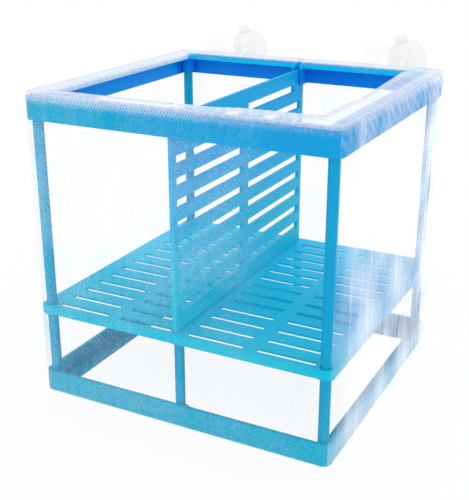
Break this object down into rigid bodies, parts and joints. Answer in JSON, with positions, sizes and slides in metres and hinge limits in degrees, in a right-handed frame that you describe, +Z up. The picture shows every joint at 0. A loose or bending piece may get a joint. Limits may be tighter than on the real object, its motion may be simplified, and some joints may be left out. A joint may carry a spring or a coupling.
{
  "type": "fish breeding box",
  "caption": "Open-topped breeding box: plastic frame with a slotted shelf and a lift-out slotted divider inside a fine net bag, with suction cups on hangers at the back rim.",
  "frame": {"origin": "under the middle of the net bag, on the surface that the box stands on", "axes": "+X to the right along the front, +Y to the back where the suction cups are, +Z up"},
  "size_m": [0.165, 0.1717, 0.1776],
  "materials": {
    "blue_plastic": "moulded polypropylene, satin gloss",
    "white_net": "fine knitted net, see-through",
    "white_elastic": "braided elastic cord",
    "clear_plastic": "clear moulded plastic",
    "clear_vinyl": "clear soft vinyl"
  },
  "bodies": {
    "box": {"top_frame": "blue_plastic", "bottom_frame": "blue_plastic", "shelf": "blue_plastic", "upper_post_front_left": "blue_plastic", "upper_post_front_right": "blue_plastic", "upper_post_back_left": "blue_plastic", "upper_post_back_right": "blue_plastic", "lower_post_front_left": "blue_plastic", "lower_post_front_right": "blue_plastic", "lower_post_back_left": "blue_plastic", "lower_post_back_right": "blue_plastic", "centre_post_front": "blue_plastic", "centre_post_back": "blue_plastic", "net_front": "white_net", "net_back": "white_net", "net_left": "white_net", "net_right": "white_net", "net_bottom": "white_net", "net_cuff": "white_net", "hem_elastic": "white_elastic"},
    "divider": {"divider": "blue_plastic"},
    "left_hanger": {"hanger_left": "clear_plastic"},
    "right_hanger": {"hanger_right": "clear_plastic"},
    "left_cup": {"suction_cup_left": "clear_vinyl"},
    "right_cup": {"suction_cup_right": "clear_vinyl"}
  },
  "joints": [
    {"name": "divider_lift", "type": "slide", "parent": "box", "child": "divider", "axis": [0, 0, 1], "range_m": [0, 0.112]},
    {"name": "left_hanger_slide", "type": "slide", "parent": "box", "child": "left_hanger", "axis": [1, 0, 0], "range_m": [-0.006, 0.025]},
    {"name": "right_hanger_slide", "type": "slide", "parent": "box", "child": "right_hanger", "axis": [1, 0, 0], "range_m": [-0.03, 0.02]},
    {"name": "left_cup_turn", "type": "hinge", "parent": "left_hanger", "child": "left_cup", "pos_m": [-0.0445, 0.0857, 0.1628], "axis": [0, 1, 0], "continuous": true},
    {"name": "right_cup_turn", "type": "hinge", "parent": "right_hanger", "child": "right_cup", "pos_m": [0.0552, 0.0857, 0.1628], "axis": [0, 1, 0], "continuous": true}
  ]
}
